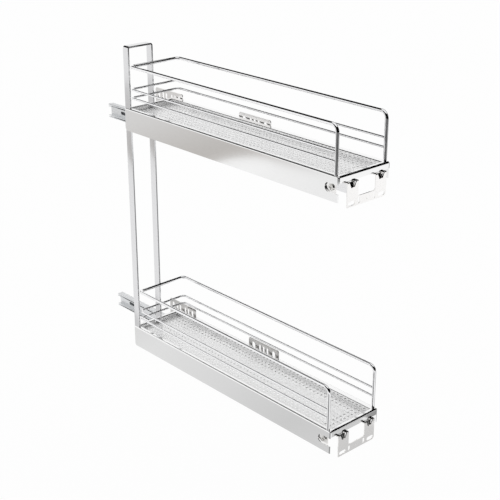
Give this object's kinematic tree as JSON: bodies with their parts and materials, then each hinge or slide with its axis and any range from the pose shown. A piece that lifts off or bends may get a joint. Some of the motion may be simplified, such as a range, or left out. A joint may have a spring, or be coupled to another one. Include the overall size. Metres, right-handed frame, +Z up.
{
  "type": "two-tier pull-out basket",
  "caption": "Narrow cabinet pull-out with stacked wire-railed trays on telescopic side runners, tied by a flat-bar frame, with slotted door and wall brackets.",
  "frame": {"origin": "middle of the screw holes of the lower front wall bracket, on the face that lies on the cabinet's side wall", "axes": "+X towards the cabinet's side wall, +Y to the rear of the cabinet, +Z up; the unit pulls out along -Y"},
  "size_m": [0.1105, 0.69, 0.5715],
  "materials": {
    "zinc_plated_steel": "satin zinc plate",
    "chrome_wire": "mirror chrome plate",
    "polished_sheet": "chrome-plated sheet",
    "chromed_bar": "chrome-plated flat bar",
    "perforated_sheet": "chrome-plated perforated sheet",
    "nickel_steel": "nickel-plated steel",
    "bearing_steel": "hardened bearing steel"
  },
  "bodies": {
    "cabinet_side": {"lower_cabinet_rail": "zinc_plated_steel", "lower_front_wall_bracket": "nickel_steel", "lower_rear_wall_bracket": "nickel_steel", "lower_bracket_rivets": "zinc_plated_steel", "upper_cabinet_rail": "zinc_plated_steel", "upper_front_wall_bracket": "nickel_steel", "upper_rear_wall_bracket": "nickel_steel", "upper_bracket_rivets": "zinc_plated_steel"},
    "lower_intermediate": {"lower_intermediate_rail": "zinc_plated_steel"},
    "lower_outer_bearing": {"lower_outer_ball_cage": "zinc_plated_steel", "lower_outer_balls": "bearing_steel"},
    "lower_inner_bearing": {"lower_inner_ball_cage": "zinc_plated_steel", "lower_inner_balls": "bearing_steel"},
    "lower_door_bracket": {"lower_door_bracket": "nickel_steel"},
    "lower_adjuster": {"lower_adjuster_screw": "nickel_steel"},
    "upper_intermediate": {"upper_intermediate_rail": "zinc_plated_steel"},
    "upper_outer_bearing": {"upper_outer_ball_cage": "zinc_plated_steel", "upper_outer_balls": "bearing_steel"},
    "upper_inner_bearing": {"upper_inner_ball_cage": "zinc_plated_steel", "upper_inner_balls": "bearing_steel"},
    "upper_door_bracket": {"upper_door_bracket": "nickel_steel"},
    "upper_adjuster": {"upper_adjuster_screw": "nickel_steel"},
    "pullout": {"lower_drawer_rail": "zinc_plated_steel", "lower_rail_carrier": "zinc_plated_steel", "lower_carrier_screws": "nickel_steel", "lower_tray": "polished_sheet", "lower_perforated_floor": "perforated_sheet", "lower_top_rail": "chrome_wire", "lower_upper_guard_rail": "chrome_wire", "lower_lower_guard_rail": "chrome_wire", "lower_clamp_screws": "nickel_steel", "upper_drawer_rail": "zinc_plated_steel", "upper_rail_carrier": "zinc_plated_steel", "upper_carrier_screws": "nickel_steel", "upper_tray": "polished_sheet", "upper_perforated_floor": "perforated_sheet", "upper_top_rail": "chrome_wire", "upper_upper_guard_rail": "chrome_wire", "upper_lower_guard_rail": "chrome_wire", "upper_clamp_screws": "nickel_steel", "rear_frame": "chromed_bar"}
  },
  "joints": [
    {"name": "first_stage", "type": "slide", "parent": "cabinet_side", "child": "lower_intermediate", "axis": [0, -1, 0], "range_m": [0, 0.225]},
    {"name": "second_stage", "type": "slide", "parent": "lower_intermediate", "child": "pullout", "axis": [0, -1, 0], "range_m": [-0.225, 0]},
    {"name": "upper_first_stage", "type": "slide", "parent": "cabinet_side", "child": "upper_intermediate", "axis": [0, -1, 0], "range_m": [0, 0.225]},
    {"name": "lower_outer_bearing_roll", "type": "slide", "parent": "cabinet_side", "child": "lower_outer_bearing", "axis": [0, -1, 0], "range_m": [0, 0.1125]},
    {"name": "lower_inner_bearing_roll", "type": "slide", "parent": "lower_intermediate", "child": "lower_inner_bearing", "axis": [0, -1, 0], "range_m": [-0.1125, 0]},
    {"name": "lower_door_adjust", "type": "slide", "parent": "pullout", "child": "lower_door_bracket", "axis": [0, -1, 0], "range_m": [-0.002, 0.002]},
    {"name": "lower_adjuster_turn", "type": "hinge", "parent": "lower_door_bracket", "child": "lower_adjuster", "pos_m": [-0.1105, -0.2525, 0.001], "axis": [1, 0, 0], "range_deg": [-90, 90]},
    {"name": "upper_outer_bearing_roll", "type": "slide", "parent": "cabinet_side", "child": "upper_outer_bearing", "axis": [0, -1, 0], "range_m": [0, 0.1125]},
    {"name": "upper_inner_bearing_roll", "type": "slide", "parent": "upper_intermediate", "child": "upper_inner_bearing", "axis": [0, -1, 0], "range_m": [-0.1125, 0]},
    {"name": "upper_door_adjust", "type": "slide", "parent": "pullout", "child": "upper_door_bracket", "axis": [0, -1, 0], "range_m": [-0.002, 0.002]},
    {"name": "upper_adjuster_turn", "type": "hinge", "parent": "upper_door_bracket", "child": "upper_adjuster", "pos_m": [-0.1105, -0.2525, 0.411], "axis": [1, 0, 0], "range_deg": [-90, 90]}
  ],
  "couplings": [
    {"joint": "upper_first_stage", "follows": "first_stage", "ratio": 1},
    {"joint": "lower_outer_bearing_roll", "follows": "first_stage", "ratio": 0.5},
    {"joint": "lower_inner_bearing_roll", "follows": "second_stage", "ratio": 0.5},
    {"joint": "upper_outer_bearing_roll", "follows": "first_stage", "ratio": 0.5},
    {"joint": "upper_inner_bearing_roll", "follows": "second_stage", "ratio": 0.5}
  ]
}
